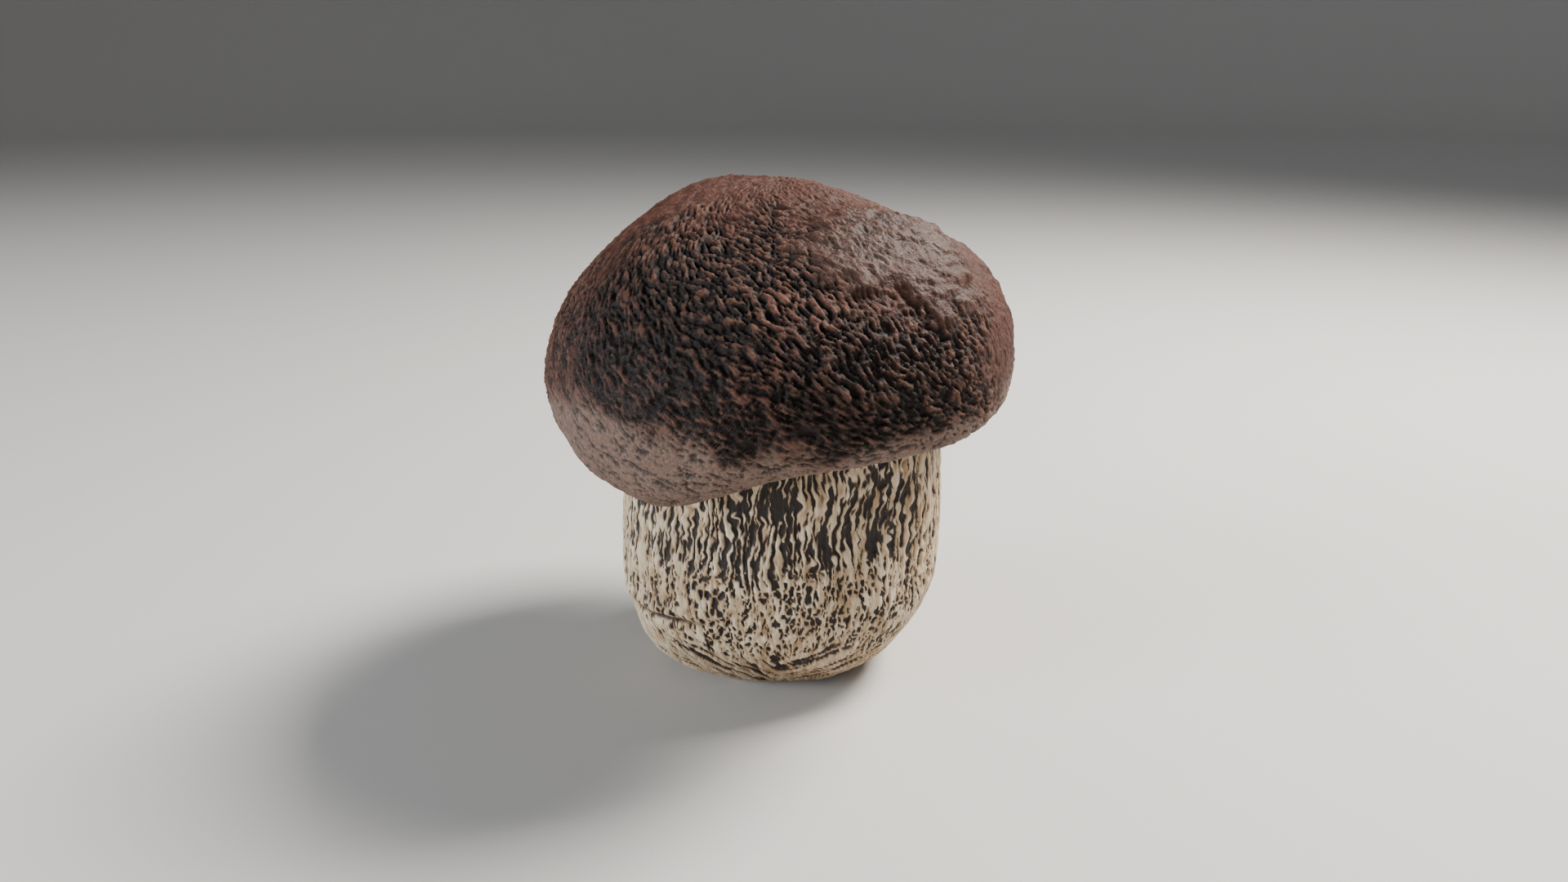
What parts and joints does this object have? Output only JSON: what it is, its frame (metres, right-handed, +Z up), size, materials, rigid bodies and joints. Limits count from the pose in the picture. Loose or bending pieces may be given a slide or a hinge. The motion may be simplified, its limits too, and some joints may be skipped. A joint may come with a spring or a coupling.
{
  "type": "portobello mushroom",
  "caption": "Whole closed-cap brown mushroom: domed leathery cap with a rolled-in margin, ring of gills beneath, and a stout fibrous stem standing on its cut foot.",
  "frame": {"origin": "centre of the cut foot's flat face", "axes": "+Z up from the foot to the crown; -Y is the front, with the drooping lobe of the margin at the front left"},
  "size_m": [0.0692, 0.0723, 0.0758],
  "materials": {
    "cap_skin": "dark brown wrinkled skin with a soft satin sheen",
    "gill_flesh": "matte brown gill blades",
    "stem_flesh": "matte cream to tan fibrous flesh with dark grooves"
  },
  "bodies": {
    "root": {"cap": "cap_skin", "gills": "gill_flesh", "stem": "stem_flesh"}
  },
  "joints": []
}
